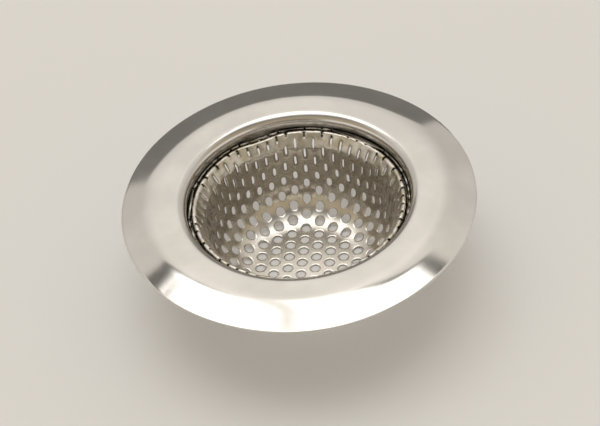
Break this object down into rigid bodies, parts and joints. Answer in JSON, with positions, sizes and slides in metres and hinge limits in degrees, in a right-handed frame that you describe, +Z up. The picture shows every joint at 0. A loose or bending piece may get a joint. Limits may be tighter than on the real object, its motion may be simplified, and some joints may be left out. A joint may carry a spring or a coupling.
{
  "type": "sink basket strainer",
  "caption": "Round drop-in sink strainer: a wide polished conical rim with a short collar, and a deep-drawn perforated basket seamed into it.",
  "frame": {"origin": "on the axis, at the underside of the basket's floor, which is the lowest point", "axes": "+Z up along the axis, out of the basket's mouth; the rows of holes run 80.2 degrees from +X"},
  "size_m": [0.11, 0.11, 0.0339],
  "materials": {
    "polished_rim": "mirror polished stainless steel",
    "perforated_sheet": "bright drawn perforated stainless steel"
  },
  "bodies": {
    "root": {"rim_flange": "polished_rim", "perforated_basket": "perforated_sheet"}
  },
  "joints": []
}
